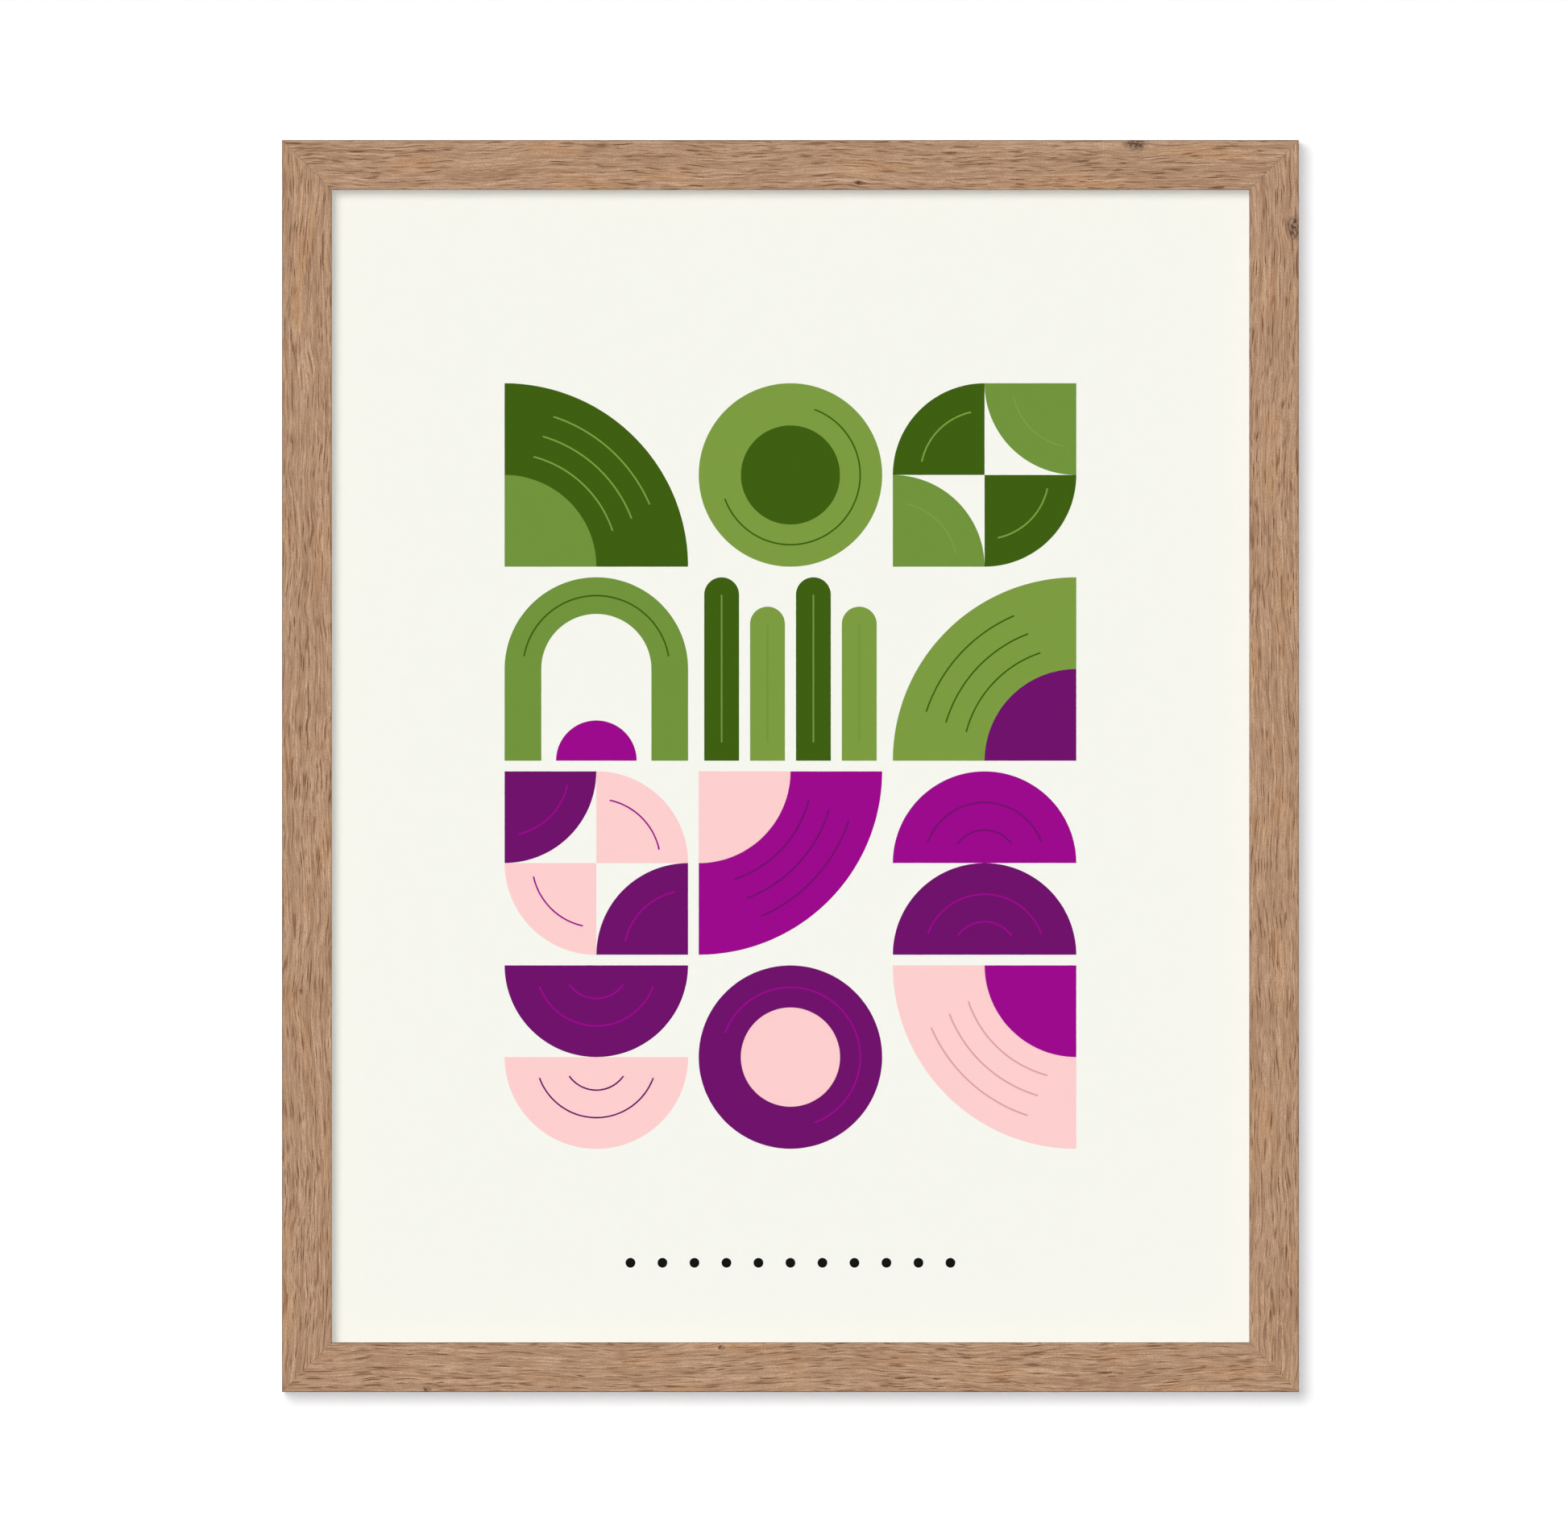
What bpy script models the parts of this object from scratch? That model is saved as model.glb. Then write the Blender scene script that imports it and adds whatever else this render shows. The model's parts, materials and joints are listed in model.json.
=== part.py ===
"""A framed art print: a glazed paper print in an oak frame that hangs on a wall.

Lengths are in metres, +Z is up, and the picture faces -Y. The wall is the plane y = 0, and the origin
is the point of that plane where the nail carries the hanger. In names, "left" and "right" are as seen
from the front, "inset" is a distance inwards from the frame's outer edge, "front" is the lowest y of a
piece and "back" its highest.
"""

import math

import bmesh
import bpy
from mathutils import Matrix, Vector

MM = 0.001

# Driving dimensions
PRINT_WIDTH = 400 * MM
PRINT_HEIGHT = 500 * MM
PRINT_THICKNESS = 0.3 * MM
LIP_OVERLAP = 5 * MM  # how far the rails' lip covers the edge of the print
RAIL_FACE = 21 * MM  # width of a rail, seen from the front
RAIL_DEPTH = 14.5 * MM
LIP_DEPTH = 8 * MM  # solid wood in front of the rabbet
RABBET_WIDTH = 6 * MM
ARRIS = 0.4 * MM  # the eased edge of the rails
STAND_OFF = 3.5 * MM  # from the wall to the rails' back
GLAZING_THICKNESS = 2 * MM
BOARD_THICKNESS = 3 * MM
SHEET_CLEARANCE = 0.5 * MM  # round the glazing and the board, in the rabbet
TOUCH_GAP = 0.3 * MM  # between pieces that rest on each other
MITRE_GAP = 0.1 * MM  # taken off each end of a rail, along its length
HANGING_DROP = 11 * MM  # from the frame's top edge down to the nail

# Turn buttons and their screws
BUTTON_THICKNESS = 1 * MM
BUTTON_HEAD_RADIUS = 5 * MM
BUTTON_TIP_RADIUS = 3.4 * MM
BUTTON_REACH = 20 * MM  # from the pivot to the tip
BUTTON_HOLE_RADIUS = 1.9 * MM
BUTTON_EDGE = 0.15 * MM
BUTTON_OFFSET_ACROSS = 105 * MM  # from the frame's middle, on the top and bottom rails
BUTTON_OFFSET_UP = 150 * MM  # from the frame's middle, on the side rails
SCREW_SHANK_RADIUS = 1.6 * MM
SCREW_HEAD_RADIUS = 3.3 * MM
SCREW_HEAD_HEIGHT = 1.6 * MM
SCREW_LENGTH = 11 * MM  # under the head
SCREW_POINT = 2.5 * MM
RECESS_REACH = 1.8 * MM  # half the length of the cross recess
RECESS_WIDTH = 0.75 * MM
RECESS_DEPTH = 0.9 * MM
BORE_CLEARANCE = 0.15 * MM

# Sawtooth hanger
HANGER_THICKNESS = 1 * MM
HANGER_FOOT_CENTRE = 18.5 * MM  # from the hanger's middle to its pin
HANGER_RAMP_START = 12.5 * MM
HANGER_RAMP_END = 14.5 * MM
HANGER_LIFT = 1.8 * MM  # how far the middle stands out over the feet
HANGER_HEIGHT = 9 * MM
TOOTH_PITCH = 2 * MM
TOOTH_HEIGHT = 1 * MM
TEETH_EACH_SIDE = 5
PIN_SHANK_RADIUS = 0.7 * MM
PIN_HEAD_RADIUS = 1.8 * MM
PIN_HEAD_HEIGHT = 0.8 * MM
PIN_LENGTH = 9 * MM
PIN_POINT = 1.5 * MM

# V-nails across the mitres
V_NAIL_PLACES = {"outer": 6 * MM, "inner": 14 * MM}  # along the mitre from the outer corner
V_NAIL_ARM = 4.6 * MM
V_NAIL_THICKNESS = 0.8 * MM
V_NAIL_HEIGHT = 8 * MM
V_NAIL_SPREAD = math.radians(55)  # from the mitre to each arm
V_NAIL_GAP = 0.15 * MM

# Wall bumpers
BUMPER_RADIUS = 5 * MM
BUMPER_EDGE = 0.6 * MM
BUMPER_OFFSET = 188 * MM  # from the frame's middle, on the bottom rail

ROUND_SIDES = 16
DOME_STEPS = 5
ARC_STEP = math.radians(15)
DRIVEN_STEP = math.radians(37)  # each screw stops at an angle of its own
OVERCUT = 2 * MM  # how far a cutter stands out of the face that it opens

# Places that follow from the dimensions
WINDOW_WIDTH = PRINT_WIDTH - 2 * LIP_OVERLAP
WINDOW_HEIGHT = PRINT_HEIGHT - 2 * LIP_OVERLAP
OUTER_WIDTH = WINDOW_WIDTH + 2 * RAIL_FACE
OUTER_HEIGHT = WINDOW_HEIGHT + 2 * RAIL_FACE
TOP = HANGING_DROP
BOTTOM = TOP - OUTER_HEIGHT
MIDDLE = (TOP + BOTTOM) / 2
SIDE = OUTER_WIDTH / 2
RAIL_BACK = -STAND_OFF
RAIL_FRONT = RAIL_BACK - RAIL_DEPTH
RABBET_FLOOR = RAIL_FRONT + LIP_DEPTH
RAIL_BACK_FACE = RAIL_FACE - RABBET_WIDTH
GLAZING_FRONT = RABBET_FLOOR + TOUCH_GAP
PRINT_FRONT = GLAZING_FRONT + GLAZING_THICKNESS + TOUCH_GAP
BOARD_FRONT = PRINT_FRONT + PRINT_THICKNESS + TOUCH_GAP
SHEET_WIDTH = OUTER_WIDTH - 2 * RAIL_BACK_FACE - 2 * SHEET_CLEARANCE
SHEET_HEIGHT = OUTER_HEIGHT - 2 * RAIL_BACK_FACE - 2 * SHEET_CLEARANCE
FIXING_FRONT = RAIL_BACK + TOUCH_GAP  # buttons, hanger and bumpers rest on the rails' back
BUTTON_BACK = FIXING_FRONT + BUTTON_THICKNESS
SCREW_HEAD_FRONT = BUTTON_BACK + TOUCH_GAP
PIVOT_INSET = RAIL_BACK_FACE / 2


def linear(red, green, blue):
    """A colour of 0 to 255 display values, as the linear values that a shader takes."""
    def channel(value):
        value /= 255
        return value / 12.92 if value <= 0.04045 else ((value + 0.055) / 1.055) ** 2.4
    return channel(red), channel(green), channel(blue), 1.0


def material(name, colour, roughness, metallic=0.0, transmission=0.0):
    made = bpy.data.materials.new(name)
    made.use_nodes = True
    shader = made.node_tree.nodes["Principled BSDF"]
    shader.inputs["Base Color"].default_value = colour
    shader.inputs["Roughness"].default_value = roughness
    shader.inputs["Metallic"].default_value = metallic
    shader.inputs["Transmission Weight"].default_value = transmission
    made.diffuse_color = colour
    return made


def mesh_of(name, shape, finish):
    """The bmesh as a mesh of one material, with its faces turned outwards."""
    bmesh.ops.recalc_face_normals(shape, faces=shape.faces)
    mesh = bpy.data.meshes.new(name)
    shape.to_mesh(mesh)
    shape.free()
    mesh.materials.append(finish)
    return mesh


def place(name, mesh, x=0.0, z=0.0, turn=0.0):
    """An object of the mesh, turned about its own Y axis."""
    made = bpy.data.objects.new(name, mesh)
    made.location = (x, 0, z)
    made.rotation_euler = (0, turn, 0)
    bpy.context.scene.collection.objects.link(made)
    return made


def smooth_round(mesh, angle=math.radians(40)):
    mesh.shade_smooth()
    mesh.set_sharp_from_angle(angle=angle)


def prism(outline, front, back):
    """A bmesh of an outline of (x, z) points between two depths."""
    shape = bmesh.new()
    rings = [[shape.verts.new((x, y, z)) for x, z in outline] for y in (front, back)]
    shape.faces.new(rings[0])
    shape.faces.new(reversed(rings[1]))
    for i in range(len(outline)):
        before = i - 1
        shape.faces.new((rings[0][before], rings[0][i], rings[1][i], rings[1][before]))
    return shape


def turned(profile):
    """A bmesh turned about the Y axis from (radius, y) points that start and end on the axis."""
    angles = [2 * math.pi * i / ROUND_SIDES for i in range(ROUND_SIDES)]
    shape = bmesh.new()
    rings = []
    for radius, y in profile:
        if radius == 0:
            rings.append([shape.verts.new((0, y, 0))] * ROUND_SIDES)
            continue
        rings.append([shape.verts.new((radius * math.sin(a), y, radius * math.cos(a))) for a in angles])
    for near, far in zip(rings, rings[1:]):
        for i in range(ROUND_SIDES):
            corners = (near[i - 1], near[i], far[i], far[i - 1])
            shape.faces.new(dict.fromkeys(corners))
    return shape


def dome(radius, front, height):
    """The (radius, y) points of a rounded head, from its top on the axis to its rim."""
    angles = [math.pi / 2 * i / DOME_STEPS for i in range(1, DOME_STEPS)]
    curve = [(radius * math.sin(a), front + height * math.cos(a)) for a in angles]
    return [(0, front + height), *curve, (radius, front)]


def arc(centre_x, centre_z, radius, start, end):
    """Points on an arc of (x, z), with angles counted from +X towards +Z."""
    steps = round((end - start) / ARC_STEP)
    angles = [start + (end - start) * i / steps for i in range(steps + 1)]
    return [(centre_x + radius * math.cos(a), centre_z + radius * math.sin(a)) for a in angles]


def cutter(name, mesh, group, x=0.0, z=0.0, turn=0.0):
    """A helper that a Boolean takes away, kept out of renders."""
    made = place(name, mesh, x, z, turn)
    bpy.context.scene.collection.objects.unlink(made)
    group.objects.link(made)
    made.hide_render = True
    made.display_type = "WIRE"
    return made


def cut_with(obj, group):
    modifier = obj.modifiers.new("Cut", "BOOLEAN")
    modifier.operation = "DIFFERENCE"
    modifier.operand_type = "COLLECTION"
    modifier.collection = group
    modifier.solver = "EXACT"


def new_group(name):
    group = bpy.data.collections.new(name)
    bpy.context.scene.collection.children.link(group)
    return group


def rail_profile():
    """The rail's section as (inset, y): a square stick with a rabbet on its inner back edge."""
    return [
        (0, RAIL_FRONT + ARRIS),
        (ARRIS, RAIL_FRONT),
        (RAIL_FACE - ARRIS, RAIL_FRONT),
        (RAIL_FACE, RAIL_FRONT + ARRIS),
        (RAIL_FACE, RABBET_FLOOR),
        (RAIL_BACK_FACE, RABBET_FLOOR),
        (RAIL_BACK_FACE, RAIL_BACK),
        (ARRIS, RAIL_BACK),
        (0, RAIL_BACK - ARRIS),
    ]


def make_rail(name, outer_middle, along, inward, outer_length, finish, cuts):
    """One rail between its two mitres, with its slots and bores."""
    shape = bmesh.new()
    ends = []
    for side in (-1, 1):
        ring = []
        for inset, y in rail_profile():
            reach = side * (outer_length / 2 - inset - MITRE_GAP)
            spot = outer_middle + inward * inset + along * reach
            ring.append(shape.verts.new((spot.x, y, spot.z)))
        ends.append(ring)
    for i in range(len(ends[0])):
        shape.faces.new((ends[0][i - 1], ends[0][i], ends[1][i], ends[1][i - 1]))
    shape.faces.new(ends[0])
    shape.faces.new(reversed(ends[1]))
    cut_with(place(name, mesh_of(name, shape, finish)), cuts)


def make_rails(finish, cuts):
    right, up = Vector((1, 0, 0)), Vector((0, 0, 1))
    make_rail("rail_top", up * TOP, right, -up, OUTER_WIDTH, finish, cuts)
    make_rail("rail_bottom", up * BOTTOM, right, up, OUTER_WIDTH, finish, cuts)
    make_rail("rail_left", up * MIDDLE - right * SIDE, up, right, OUTER_HEIGHT, finish, cuts)
    make_rail("rail_right", up * MIDDLE + right * SIDE, up, -right, OUTER_HEIGHT, finish, cuts)


def make_sheet(name, width, height, front, thickness, finish):
    """A flat rectangular sheet, centred in the frame."""
    x, z = width / 2, height / 2
    outline = [(-x, MIDDLE - z), (x, MIDDLE - z), (x, MIDDLE + z), (-x, MIDDLE + z)]
    place(name, mesh_of(name, prism(outline, front, front + thickness), finish))


def v_outline(corner_x, corner_z, distance, grow):
    """The outline of a V across the mitre, its point towards the frame's outer corner."""
    mitre = Vector((math.copysign(1, -corner_x), math.copysign(1, MIDDLE - corner_z))).normalized()
    across = Vector((-mitre.y, mitre.x))
    half = V_NAIL_THICKNESS / 2 + grow
    reach = V_NAIL_ARM + grow
    sine, cosine = math.sin(V_NAIL_SPREAD), math.cos(V_NAIL_SPREAD)
    tip = Vector((distance + reach * cosine, reach * sine))
    outwards = Vector((-sine, cosine)) * half
    upper = [
        Vector((distance - half / sine, 0)),
        tip + outwards,
        tip - outwards,
        Vector((distance + half / sine, 0)),
    ]
    lower = [Vector((point.x, -point.y)) for point in (upper[2], upper[1])]
    corner = Vector((corner_x, corner_z))
    return [tuple(corner + mitre * p.x + across * p.y) for p in upper + lower]


def make_v_nails(finish, cuts):
    """Two V-nails a corner, pressed in from the back, and the slots that they sit in."""
    back = RAIL_BACK - TOUCH_GAP
    front = back - V_NAIL_HEIGHT
    for z_name, z in (("top", TOP), ("bottom", BOTTOM)):
        for x_name, x in (("left", -SIDE), ("right", SIDE)):
            for place_name, distance in V_NAIL_PLACES.items():
                name = f"v_nail_{z_name}_{x_name}_{place_name}"
                nail = prism(v_outline(x, z, distance, 0), front, back)
                place(name, mesh_of(name, nail, finish))
                slot = prism(v_outline(x, z, distance, V_NAIL_GAP), front - TOUCH_GAP, OVERCUT)
                cutter(f"slot_{name}", mesh_of(f"slot_{name}", slot, finish), cuts)


def button_mesh(finish):
    """A drop-shaped plate: a round head with the hole at the origin, and a tongue towards +Z."""
    tip_centre = BUTTON_REACH - BUTTON_TIP_RADIUS
    lean = math.asin((BUTTON_HEAD_RADIUS - BUTTON_TIP_RADIUS) / tip_centre)
    head = arc(0, 0, BUTTON_HEAD_RADIUS, math.pi - lean, 2 * math.pi + lean)
    tip = arc(0, tip_centre, BUTTON_TIP_RADIUS, lean, math.pi - lean)
    shape = prism(head + tip, FIXING_FRONT, BUTTON_BACK)
    rims = [e for e in shape.edges if abs(e.verts[0].co.y - e.verts[1].co.y) < BUTTON_EDGE / 2]
    bmesh.ops.bevel(shape, geom=rims, offset=BUTTON_EDGE, segments=1, affect="EDGES")
    return mesh_of("turn_button", shape, finish)


def screw_mesh(finish):
    """A round-head screw about the Y axis, its head towards the wall."""
    front = SCREW_HEAD_FRONT
    shank = [
        (SCREW_SHANK_RADIUS, front),
        (SCREW_SHANK_RADIUS, front - SCREW_LENGTH + SCREW_POINT),
        (0, front - SCREW_LENGTH),
    ]
    profile = dome(SCREW_HEAD_RADIUS, front, SCREW_HEAD_HEIGHT) + shank
    mesh = mesh_of("turn_button_screw", turned(profile), finish)
    smooth_round(mesh)
    return mesh


def recess_mesh(finish):
    """The cross recess of a screw head."""
    long, short = RECESS_REACH, RECESS_WIDTH / 2
    quarter = [(long, -short), (long, short), (short, short)]
    outline = []
    for turn in range(4):
        spin = Matrix.Rotation(turn * math.pi / 2, 2)
        outline += [tuple(spin @ Vector(point)) for point in quarter]
    back = SCREW_HEAD_FRONT + SCREW_HEAD_HEIGHT
    return mesh_of("recess", prism(outline, back - RECESS_DEPTH, OVERCUT), finish)


def bore_mesh(name, radius, deepest, finish):
    """A round cutter from behind the frame down to its deepest point."""
    profile = [(0, OVERCUT), (radius, OVERCUT), (radius, deepest), (0, deepest)]
    return mesh_of(name, turned(profile), finish)


def button_places():
    """Each turn button's name, pivot and turn, its tongue towards the backing board."""
    inset = PIVOT_INSET
    for name, side in (("left", -1), ("right", 1)):
        x = side * BUTTON_OFFSET_ACROSS
        yield f"top_{name}", x, TOP - inset, math.pi
        yield f"bottom_{name}", x, BOTTOM + inset, 0.0
        for height, way in (("upper", 1), ("lower", -1)):
            z = MIDDLE + way * BUTTON_OFFSET_UP
            yield f"{name}_{height}", side * (SIDE - inset), z, -side * math.pi / 2


def make_turn_buttons(finish, cuts, recesses):
    """The turn buttons, closed over the board, each on the screw that it swivels round."""
    button = button_mesh(finish)
    screw = screw_mesh(finish)
    recess = recess_mesh(finish)
    hole = bore_mesh("button_hole", BUTTON_HOLE_RADIUS, RAIL_FRONT, finish)
    deepest = SCREW_HEAD_FRONT - SCREW_LENGTH - TOUCH_GAP
    bore = bore_mesh("screw_bore", SCREW_SHANK_RADIUS + BORE_CLEARANCE, deepest, finish)
    holes = new_group("button holes")
    for order, (name, x, z, turn) in enumerate(button_places()):
        cut_with(place(f"turn_button_{name}", button, x, z, turn), holes)
        cutter(f"hole_{name}", hole, holes, x, z)
        cutter(f"bore_{name}", bore, cuts, x, z)
        driven = DRIVEN_STEP * order
        cut_with(place(f"turn_button_screw_{name}", screw, x, z, driven), recesses)
        cutter(f"recess_{name}", recess, recesses, x, z, driven)


def hanger_shape():
    """The hanger's plate before its holes: round feet, a lifted middle, teeth along the lower edge."""
    radius = HANGER_HEIGHT / 2
    centre = radius - TOOTH_HEIGHT
    right = arc(HANGER_FOOT_CENTRE, centre, radius, -math.pi / 2, math.pi / 2)
    left = arc(-HANGER_FOOT_CENTRE, centre, radius, math.pi / 2, 3 * math.pi / 2)
    teeth = []
    for i in range(-TEETH_EACH_SIDE, TEETH_EACH_SIDE + 1):
        valley = i * TOOTH_PITCH
        teeth.append((valley - TOOTH_PITCH / 2, -TOOTH_HEIGHT))
        teeth.append((valley, 0))
    teeth.append((TEETH_EACH_SIDE * TOOTH_PITCH + TOOTH_PITCH / 2, -TOOTH_HEIGHT))
    shape = prism(right + left + teeth, FIXING_FRONT, FIXING_FRONT + HANGER_THICKNESS)
    for x in (-HANGER_RAMP_END, -HANGER_RAMP_START, HANGER_RAMP_START, HANGER_RAMP_END):
        everything = shape.verts[:] + shape.edges[:] + shape.faces[:]
        bmesh.ops.bisect_plane(shape, geom=everything, plane_co=(x, 0, 0), plane_no=(1, 0, 0))
    for vertex in shape.verts:
        ramp = (HANGER_RAMP_END - abs(vertex.co.x)) / (HANGER_RAMP_END - HANGER_RAMP_START)
        vertex.co.y += HANGER_LIFT * min(1.0, max(0.0, ramp))
    return shape


def make_hanger(finish, cuts):
    """The sawtooth hanger on the top rail and its two pins. The nail sits in its middle notch."""
    holes = new_group("hanger holes")
    cut_with(place("sawtooth_hanger", mesh_of("sawtooth_hanger", hanger_shape(), finish)), holes)
    z = HANGER_HEIGHT / 2 - TOOTH_HEIGHT
    front = FIXING_FRONT + HANGER_THICKNESS + TOUCH_GAP
    shank = [
        (PIN_SHANK_RADIUS, front),
        (PIN_SHANK_RADIUS, front - PIN_LENGTH + PIN_POINT),
        (0, front - PIN_LENGTH),
    ]
    profile = dome(PIN_HEAD_RADIUS, front, PIN_HEAD_HEIGHT) + shank
    pin = mesh_of("hanger_pin", turned(profile), finish)
    smooth_round(pin)
    deepest = front - PIN_LENGTH - TOUCH_GAP
    bore = bore_mesh("pin_bore", PIN_SHANK_RADIUS + BORE_CLEARANCE, deepest, finish)
    hole = bore_mesh("pin_hole", PIN_SHANK_RADIUS + TOUCH_GAP, RAIL_FRONT, finish)
    for name, x in (("left", -HANGER_FOOT_CENTRE), ("right", HANGER_FOOT_CENTRE)):
        place(f"hanger_pin_{name}", pin, x, z)
        cutter(f"pin_bore_{name}", bore, cuts, x, z)
        cutter(f"pin_hole_{name}", hole, holes, x, z)


def make_bumpers(finish):
    """Two soft discs that hold the frame's foot off the wall."""
    profile = [
        (0, 0),
        (BUMPER_RADIUS - BUMPER_EDGE, 0),
        (BUMPER_RADIUS, -BUMPER_EDGE),
        (BUMPER_RADIUS, FIXING_FRONT),
        (0, FIXING_FRONT),
    ]
    bumper = mesh_of("wall_bumper", turned(profile), finish)
    smooth_round(bumper)
    for name, x in (("left", -BUMPER_OFFSET), ("right", BUMPER_OFFSET)):
        place(f"wall_bumper_{name}", bumper, x, BOTTOM + PIVOT_INSET)


def main():
    for obj in list(bpy.data.objects):
        bpy.data.objects.remove(obj, do_unlink=True)
    oak = material("oak", linear(178, 143, 112), 0.55)
    paper = material("paper", linear(247, 246, 238), 0.85)
    acrylic = material("clear_acrylic", linear(250, 252, 250), 0.03, transmission=1.0)
    fibreboard = material("fibreboard", linear(160, 122, 84), 0.8)
    steel = material("zinc_plated_steel", linear(190, 192, 196), 0.35, metallic=1.0)
    felt = material("felt", linear(205, 200, 190), 0.95)
    rail_cuts = new_group("slots and bores")
    recesses = new_group("screw recesses")
    make_rails(oak, rail_cuts)
    make_sheet("glazing", SHEET_WIDTH, SHEET_HEIGHT, GLAZING_FRONT, GLAZING_THICKNESS, acrylic)
    make_sheet("art_print", PRINT_WIDTH, PRINT_HEIGHT, PRINT_FRONT, PRINT_THICKNESS, paper)
    make_sheet("backing_board", SHEET_WIDTH, SHEET_HEIGHT, BOARD_FRONT, BOARD_THICKNESS, fibreboard)
    make_v_nails(steel, rail_cuts)
    make_turn_buttons(steel, rail_cuts, recesses)
    make_hanger(steel, rail_cuts)
    make_bumpers(felt)


main()
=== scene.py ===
"""The looks of a framed print: oak rails, printed paper behind clear glazing, and the fixings on its back.

Lengths are in metres and +Z is up. The picture faces -Y and the wall is the plane y = 0. Each dressed
piece takes its place from the frame's nodes. A rail and its wood use the rail's own axes: X along it, Y
inwards from the outer edge, Z from the wall towards the viewer. Materials and artwork count in millimetres.
"""

import json
import math

import bmesh
import bpy
from mathutils import Matrix, Vector
from mathutils.geometry import delaunay_2d_cdt

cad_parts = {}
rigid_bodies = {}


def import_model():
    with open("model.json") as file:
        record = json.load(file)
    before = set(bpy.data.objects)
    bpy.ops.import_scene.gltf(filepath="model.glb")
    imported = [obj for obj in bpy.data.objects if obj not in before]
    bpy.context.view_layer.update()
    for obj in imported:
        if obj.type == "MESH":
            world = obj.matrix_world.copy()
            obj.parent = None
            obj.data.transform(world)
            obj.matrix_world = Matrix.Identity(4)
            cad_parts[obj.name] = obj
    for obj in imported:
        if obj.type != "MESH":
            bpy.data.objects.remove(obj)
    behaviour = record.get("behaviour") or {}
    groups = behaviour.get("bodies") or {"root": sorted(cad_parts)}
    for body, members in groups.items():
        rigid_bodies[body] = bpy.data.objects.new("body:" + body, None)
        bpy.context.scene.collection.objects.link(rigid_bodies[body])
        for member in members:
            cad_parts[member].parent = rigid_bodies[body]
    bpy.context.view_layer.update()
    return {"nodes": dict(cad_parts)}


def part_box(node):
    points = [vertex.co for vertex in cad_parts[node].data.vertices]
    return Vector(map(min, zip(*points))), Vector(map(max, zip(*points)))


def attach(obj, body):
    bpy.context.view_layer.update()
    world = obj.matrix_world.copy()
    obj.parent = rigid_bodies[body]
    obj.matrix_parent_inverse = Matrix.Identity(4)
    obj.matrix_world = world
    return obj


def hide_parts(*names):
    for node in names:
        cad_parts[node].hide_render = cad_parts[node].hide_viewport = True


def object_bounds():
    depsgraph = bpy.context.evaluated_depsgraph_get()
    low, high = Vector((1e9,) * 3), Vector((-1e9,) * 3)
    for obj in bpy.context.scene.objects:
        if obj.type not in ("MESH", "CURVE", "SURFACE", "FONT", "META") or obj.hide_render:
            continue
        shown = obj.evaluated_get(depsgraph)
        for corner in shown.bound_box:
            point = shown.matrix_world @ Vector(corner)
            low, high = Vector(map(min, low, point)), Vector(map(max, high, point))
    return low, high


MM = 0.001
QUARTER_TURN = math.pi / 2
WHITE = (1.0, 1.0, 1.0, 1.0)

# The photograph's frame, and where the picture frame lies in it
PHOTO_WIDTH_PX = 1946
PHOTO_HEIGHT_PX = 1887
FRAME_WIDTH_PX = 1262
FRAME_CENTRE_X_PX = 981
FRAME_CENTRE_Y_PX = 951
LENS_MM = 1200
SENSOR_MM = 36

# Sizes that the nodes don't give by themselves
TOUCH_GAP = 0.3 * MM  # between pieces that touch
SHEET_CLEARANCE = 0.5 * MM  # round the glazing, in its rabbet
ARRIS_RADIUS = 0.45 * MM
ARRIS_FLAT = 0.15 * MM
ARRIS_STEPS = 4
OVERCUT = 2 * MM  # how far a cutter reaches past what it cuts
WELD = 0.002 * MM  # corners that lie closer together become one

# The fixings on the back
BUTTON_HEAD_RADIUS = 5 * MM
BUTTON_TIP_RADIUS = 3.4 * MM
BUTTON_REACH = 20 * MM  # from the pivot to the tip
BUTTON_HOLE_RADIUS = 1.9 * MM
BUTTON_EDGE = 0.22 * MM
BUTTON_CHORD = 0.4 * MM  # longest step round its outline
BUTTON_ORDER = (
    "top_left",
    "bottom_left",
    "left_upper",
    "left_lower",
    "top_right",
    "bottom_right",
    "right_upper",
    "right_lower",
)
DRIVEN_STEP = math.radians(37)  # each screw stops at an angle of its own, in the buttons' order
SCREW_HEAD_RADIUS = 3.3 * MM
SCREW_HEAD_HEIGHT = 1.6 * MM
SCREW_SHANK_RADIUS = 1.6 * MM
SCREW_POINT = 2.5 * MM
RECESS_REACH = 1.8 * MM
RECESS_WIDTH = 0.75 * MM
RECESS_DEPTH = 0.9 * MM
PIN_HEAD_RADIUS = 1.8 * MM
PIN_HEAD_HEIGHT = 0.8 * MM
PIN_SHANK_RADIUS = 0.7 * MM
PIN_POINT = 1.5 * MM
BUMPER_EDGE = 0.9 * MM
BUMPER_EDGE_STEPS = 6
HANGER_EDGE = 0.12 * MM
PLATE_FLAT = 4 * MM * MM  # larger faces of a plate are its flats

# Oak's colours in 0 to 255 display values, from the ground up to what lies over it
OAK = {
    "dark ground": (170, 134, 103),
    "pale ground": (195, 159, 128),
    "warm ground": (202, 152, 105),
    "dense bands": (160, 123, 92),
    "pale streaks": (219, 184, 152),
    "dark streaks": (140, 98, 66),
    "threads": (144, 102, 71),
    "grit": (144, 104, 75),
    "fine pores": (132, 86, 49),
    "dark pores": (104, 54, 28),
    "round a knot": (128, 98, 74),
    "knots": (78, 50, 34),
    # painted shade: the outer arris is darkened to this, where the rounded edge would catch the light
    "painted arris shade": (104, 78, 58),
    "mitre": (112, 80, 56),
}

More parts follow.
